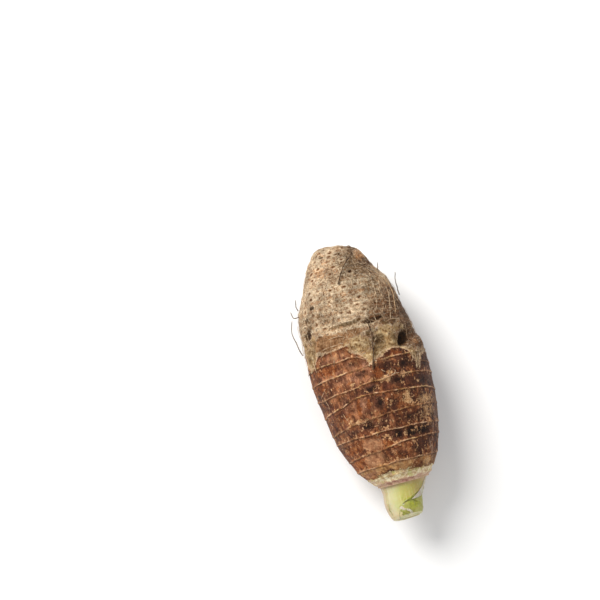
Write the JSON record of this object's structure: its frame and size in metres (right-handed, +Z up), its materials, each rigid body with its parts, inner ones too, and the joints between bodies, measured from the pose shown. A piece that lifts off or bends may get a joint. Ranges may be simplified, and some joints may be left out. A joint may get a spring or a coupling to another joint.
{
  "type": "taro root",
  "caption": "Whole taro corm lying on its side, ringed brown skin torn off its pale root end, with a short cut green leaf stalk and dry rootlets.",
  "frame": {"origin": "on the surface the corm lies on, under the middle of its bounding box", "axes": "+Y along the corm from the cut leaf stalk to the root end, +Z up from the surface it lies on, +X to the right seen from above with the root end at the top"},
  "size_m": [0.0885, 0.199, 0.0787],
  "materials": {
    "skin": "dry fibrous brown skin with pale ring scars, torn off the tan root end",
    "leaf_base": "trimmed cream leaf base with a pinkish purple edge",
    "stalk": "fresh yellow-green leaf stalk, moist and slightly glossy",
    "young_leaf": "folded green young leaf, moist and slightly glossy",
    "membrane": "thin greyish lilac sheath margin, slightly translucent",
    "rootlet": "dry dark fibre"
  },
  "bodies": {
    "root": {"corm": "skin", "leaf_base_collar": "leaf_base", "outer_leaf_stalk": "stalk", "inner_folded_leaf": "young_leaf", "sheath_margin": "membrane", "rootlet_01": "rootlet", "rootlet_02": "rootlet", "rootlet_03": "rootlet", "rootlet_04": "rootlet", "rootlet_05": "rootlet", "rootlet_06": "rootlet", "rootlet_07": "rootlet", "rootlet_08": "rootlet"}
  },
  "joints": []
}
